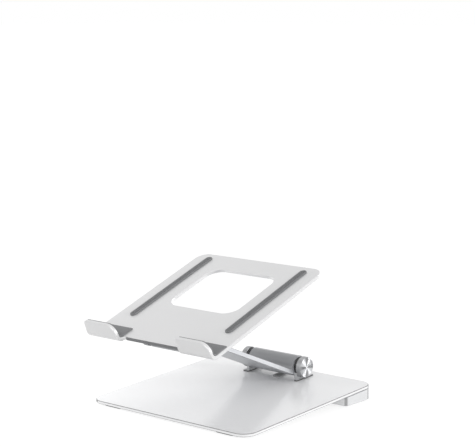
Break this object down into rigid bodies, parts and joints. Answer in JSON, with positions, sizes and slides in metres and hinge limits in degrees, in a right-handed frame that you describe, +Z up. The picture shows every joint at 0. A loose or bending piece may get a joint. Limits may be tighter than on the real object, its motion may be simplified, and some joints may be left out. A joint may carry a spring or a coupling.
{
  "type": "laptop stand",
  "caption": "Folding laptop stand: sloping base plate on a rear riser, wide arm on a friction hinge, and a vented tray with front hooks on a second friction hinge.",
  "frame": {"origin": "on the table, under the middle of the whole stand's box at rest", "axes": "+X to the user's right, +Y away from the user to the hinge end of the base, +Z up"},
  "size_m": [0.23, 0.2537, 0.1525],
  "materials": {
    "plate_aluminium": "bright satin anodised aluminium with a fine blasted grain",
    "riser_aluminium": "satin anodised aluminium",
    "tray_aluminium": "fine bead-blasted silver anodised aluminium",
    "arm_aluminium": "bead-blasted silver anodised aluminium",
    "hinge_metal": "satin anodised aluminium",
    "turned_cap": "turned metal with fine circular tool marks",
    "steel": "bright plated steel",
    "dark_steel": "dark satin plated steel",
    "black_ring": "black glass-filled nylon",
    "bush_plastic": "dark self-lubricating plastic",
    "cover_plastic": "fine textured grey plastic",
    "seal": "dark closed-cell foam",
    "rubber": "dark grey matt rubber",
    "silicone": "grey matt silicone"
  },
  "bodies": {
    "base": {"base_plate": "plate_aluminium", "rear_riser": "riser_aluminium", "riser_seal": "seal", "riser_cover": "cover_plastic", "riser_screws": "steel", "cover_screws": "steel", "foot_screws": "steel", "rest_bumper": "rubber", "front_foot_left": "rubber", "rear_foot_left": "rubber", "foot_plate_left": "dark_steel", "hinge_foot_left": "hinge_metal", "front_foot_right": "rubber", "rear_foot_right": "rubber", "foot_plate_right": "dark_steel", "hinge_foot_right": "hinge_metal", "base_hinge_shaft": "steel", "base_disc_springs": "steel", "base_lock_nuts": "steel", "base_friction_ring_left": "black_ring", "base_friction_ring_right": "black_ring", "base_hinge_cap_left": "turned_cap", "base_hinge_cap_right": "turned_cap"},
    "arm": {"arm": "arm_aluminium", "arm_lower_bushes": "bush_plastic", "arm_upper_bushes": "bush_plastic"},
    "tray": {"tray_plate": "tray_aluminium", "tray_ear_screws": "steel", "tray_ear_left": "hinge_metal", "tray_strip_left": "silicone", "hook_lining_left": "silicone", "tray_ear_right": "hinge_metal", "tray_strip_right": "silicone", "hook_lining_right": "silicone", "tray_hinge_shaft": "steel", "tray_disc_springs": "steel", "tray_lock_nuts": "steel", "tray_friction_ring_left": "black_ring", "tray_friction_ring_right": "black_ring", "tray_hinge_cap_left": "turned_cap", "tray_hinge_cap_right": "turned_cap"}
  },
  "joints": [
    {"name": "arm_lift", "type": "hinge", "parent": "base", "child": "arm", "pos_m": [0, 0.09347, 0.03114], "axis": [-1, 0, 0], "range_deg": [-19, 50]},
    {"name": "tray_tilt", "type": "hinge", "parent": "arm", "child": "tray", "pos_m": [0, -0.07553, 0.08273], "axis": [1, 0, 0], "range_deg": [-35, 45]}
  ]
}
